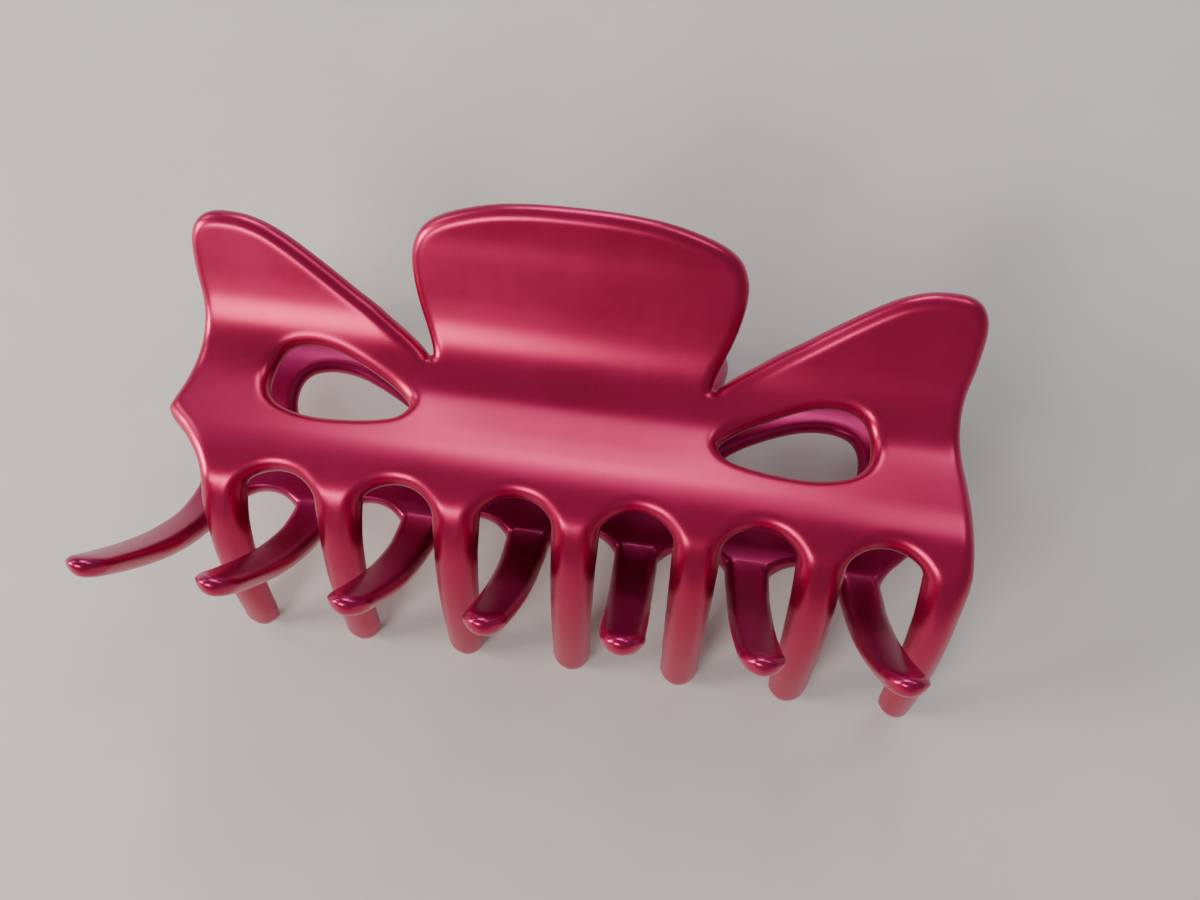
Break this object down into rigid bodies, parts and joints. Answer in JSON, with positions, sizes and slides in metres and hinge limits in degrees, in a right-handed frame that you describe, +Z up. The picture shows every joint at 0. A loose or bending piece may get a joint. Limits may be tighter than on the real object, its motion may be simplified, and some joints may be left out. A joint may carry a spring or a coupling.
{
  "type": "claw clip",
  "caption": "Butterfly claw hair clip: two curved moulded jaws with interlocking teeth, leaf-shaped windows and squeeze handles on a sprung hinge pin.",
  "frame": {"origin": "centre of the clip's footprint on the surface it lies on, under the middle of its box", "axes": "+X along the hinge pin and the row of teeth, +Y from the teeth towards the handles, +Z up from the back jaw to the front jaw as the closed clip lies"},
  "size_m": [0.0808, 0.042, 0.035],
  "materials": {
    "jaw_plastic": "satin pearlescent crimson, moulded",
    "steel": "bright drawn wire",
    "spring_steel": "drawn spring wire, lightly darkened"
  },
  "bodies": {
    "back_half": {"back_jaw": "jaw_plastic"},
    "front_half": {"front_jaw": "jaw_plastic", "hinge_pin": "steel", "torsion_spring": "spring_steel"}
  },
  "joints": [
    {"name": "jaw_hinge", "type": "hinge", "parent": "back_half", "child": "front_half", "pos_m": [0, 0.00997, 0.0167], "axis": [-1, 0, 0], "range_deg": [0, 105], "stiffness_Nm_per_rad": 0.08, "springref_deg": -51.57, "deforming": ["torsion_spring"]}
  ]
}
